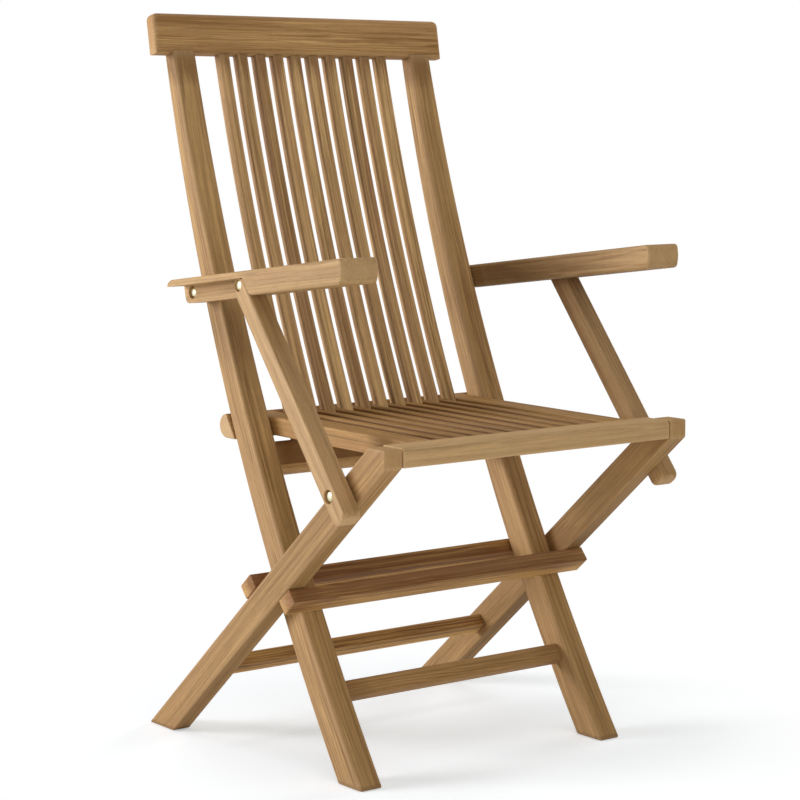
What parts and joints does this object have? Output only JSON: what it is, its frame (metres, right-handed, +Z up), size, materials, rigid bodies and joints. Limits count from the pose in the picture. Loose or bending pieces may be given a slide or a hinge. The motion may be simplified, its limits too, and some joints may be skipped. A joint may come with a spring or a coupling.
{
  "type": "folding armchair",
  "caption": "Folding wooden garden armchair with a high bowed slatted back, a comb-jointed slatted seat, sloping armrests on hinged supports and crossed legs.",
  "frame": {"origin": "floor level, on the plane of symmetry, midway between the front and the rear of the open chair", "axes": "+Z up, +X towards the sitter's left (the right of the picture), the front of the chair faces -Y"},
  "size_m": [0.562, 0.5713, 1.0009],
  "materials": {
    "teak_posts": "oiled, satin",
    "teak_back_rails": "oiled, satin",
    "teak_back_slats": "oiled, satin",
    "teak_legs": "oiled, satin",
    "teak_leg_rails": "oiled, satin",
    "teak_seat_rails": "oiled, satin",
    "teak_seat_boards": "oiled, satin",
    "teak_seat_slats": "oiled, satin",
    "teak_armrests": "oiled, satin",
    "teak_arm_supports": "oiled, satin",
    "brass_bolts": "satin, lightly tarnished",
    "brass_pins": "satin",
    "brass_washers": "satin"
  },
  "bodies": {
    "back_frame": {"post_right": "teak_posts", "post_left": "teak_posts", "top_rail": "teak_back_rails", "lower_back_rail": "teak_back_rails", "front_stretcher": "teak_back_rails", "back_slat_1": "teak_back_slats", "back_slat_2": "teak_back_slats", "back_slat_3": "teak_back_slats", "back_slat_4": "teak_back_slats", "back_slat_5": "teak_back_slats", "back_slat_6": "teak_back_slats", "back_slat_7": "teak_back_slats", "back_slat_8": "teak_back_slats", "back_slat_9": "teak_back_slats", "back_slat_10": "teak_back_slats", "crossing_pin_right": "brass_pins", "crossing_pin_left": "brass_pins", "arm_bolt_right": "brass_bolts", "arm_bolt_left": "brass_bolts", "crossing_washer_right": "brass_washers", "crossing_washer_left": "brass_washers", "arm_washer_right": "brass_washers", "arm_washer_left": "brass_washers"},
    "leg_frame": {"leg_right": "teak_legs", "leg_left": "teak_legs", "front_stop_rail": "teak_leg_rails", "rear_stop_rail": "teak_leg_rails", "rear_stretcher": "teak_leg_rails", "seat_pin_right": "brass_pins", "seat_pin_left": "brass_pins", "seat_washer_right": "brass_washers", "seat_washer_left": "brass_washers"},
    "seat": {"seat_front_rail": "teak_seat_rails", "seat_rear_bar": "teak_seat_rails", "seat_board_right": "teak_seat_boards", "seat_board_left": "teak_seat_boards", "seat_slat_1": "teak_seat_slats", "seat_slat_2": "teak_seat_slats", "seat_slat_3": "teak_seat_slats", "seat_slat_4": "teak_seat_slats", "seat_slat_5": "teak_seat_slats", "seat_slat_6": "teak_seat_slats", "seat_slat_7": "teak_seat_slats", "seat_slat_8": "teak_seat_slats", "seat_slat_9": "teak_seat_slats"},
    "armrest_right": {"armrest_right": "teak_armrests", "support_bolt_right": "brass_bolts", "support_washer_right": "brass_washers"},
    "arm_support_right": {"arm_support_right": "teak_arm_supports", "support_foot_bolt_right": "brass_bolts"},
    "armrest_left": {"armrest_left": "teak_armrests", "support_bolt_left": "brass_bolts", "support_washer_left": "brass_washers"},
    "arm_support_left": {"arm_support_left": "teak_arm_supports", "support_foot_bolt_left": "brass_bolts"}
  },
  "joints": [
    {"name": "leg_fold", "type": "hinge", "parent": "back_frame", "child": "leg_frame", "pos_m": [0, -0.0232, 0.234], "axis": [-1, 0, 0], "range_deg": [0, 68]},
    {"name": "seat_hinge", "type": "hinge", "parent": "leg_frame", "child": "seat", "pos_m": [0, -0.268, 0.4405], "axis": [1, 0, 0], "range_deg": [0, 129]},
    {"name": "armrest_hinge_right", "type": "hinge", "parent": "back_frame", "child": "armrest_right", "pos_m": [0.2235, 0.1511, 0.6227], "axis": [-1, 0, 0], "range_deg": [0, 70.5]},
    {"name": "arm_support_hinge_right", "type": "hinge", "parent": "armrest_right", "child": "arm_support_right", "pos_m": [0.2525, -0.0073, 0.6408], "axis": [1, 0, 0], "range_deg": [0, 97.7]},
    {"name": "armrest_hinge_left", "type": "hinge", "parent": "back_frame", "child": "armrest_left", "pos_m": [-0.2235, 0.1511, 0.6227], "axis": [-1, 0, 0], "range_deg": [0, 70.5]},
    {"name": "arm_support_hinge_left", "type": "hinge", "parent": "armrest_left", "child": "arm_support_left", "pos_m": [-0.2525, -0.0073, 0.6408], "axis": [1, 0, 0], "range_deg": [0, 97.7]}
  ],
  "couplings": [
    {"joint": "seat_hinge", "follows": "leg_fold", "ratio": 1.88},
    {"joint": "armrest_hinge_right", "follows": "leg_fold", "ratio": 1.0341},
    {"joint": "arm_support_hinge_right", "follows": "leg_fold", "ratio": 1.4344},
    {"joint": "armrest_hinge_left", "follows": "leg_fold", "ratio": 1.0341},
    {"joint": "arm_support_hinge_left", "follows": "leg_fold", "ratio": 1.4344}
  ]
}
